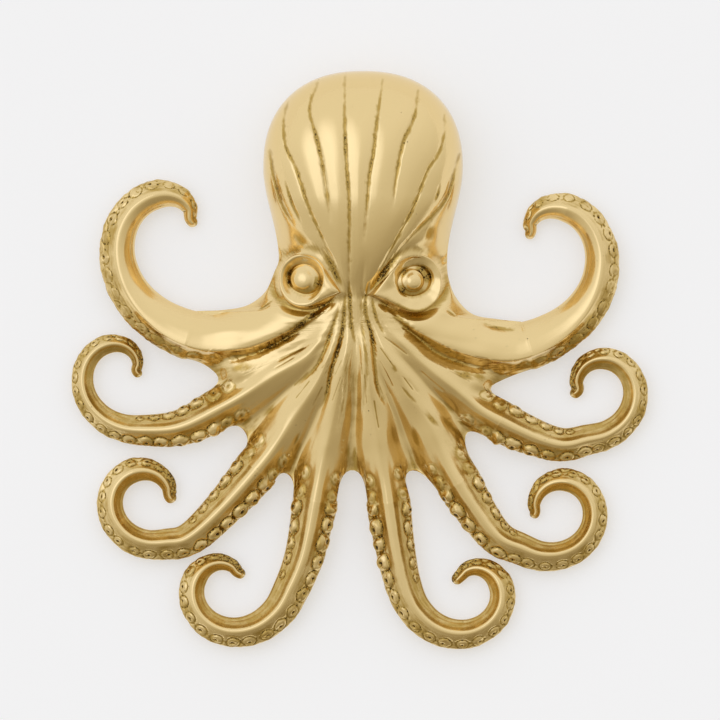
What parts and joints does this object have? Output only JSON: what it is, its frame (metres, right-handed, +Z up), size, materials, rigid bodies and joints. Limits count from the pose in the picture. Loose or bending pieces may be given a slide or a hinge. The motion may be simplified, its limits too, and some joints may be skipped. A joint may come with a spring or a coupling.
{
  "type": "paperweight",
  "caption": "Cast brass octopus lying flat, with a fluted mantle, lidded eyes and curled arms set with suckers, felted underneath, that holds down papers on a desk.",
  "frame": {"origin": "on the table under the middle of the outline", "axes": "+Z up from the table, +Y from the arms towards the top of the mantle, +X to the right as seen from above"},
  "size_m": [0.1518, 0.1521, 0.027],
  "materials": {
    "brass": "polished, with darkened recesses",
    "felt": "matte"
  },
  "bodies": {
    "root": {"body_casting": "brass", "upper_left_arm": "brass", "side_left_arm": "brass", "lower_left_arm": "brass", "front_left_arm": "brass", "front_right_arm": "brass", "lower_right_arm": "brass", "side_right_arm": "brass", "upper_right_arm": "brass", "left_eyeball": "brass", "right_eyeball": "brass", "body_felt": "felt", "upper_left_felt": "felt", "side_left_felt": "felt", "lower_left_felt": "felt", "front_left_felt": "felt", "front_right_felt": "felt", "lower_right_felt": "felt", "side_right_felt": "felt", "upper_right_felt": "felt"}
  },
  "joints": []
}
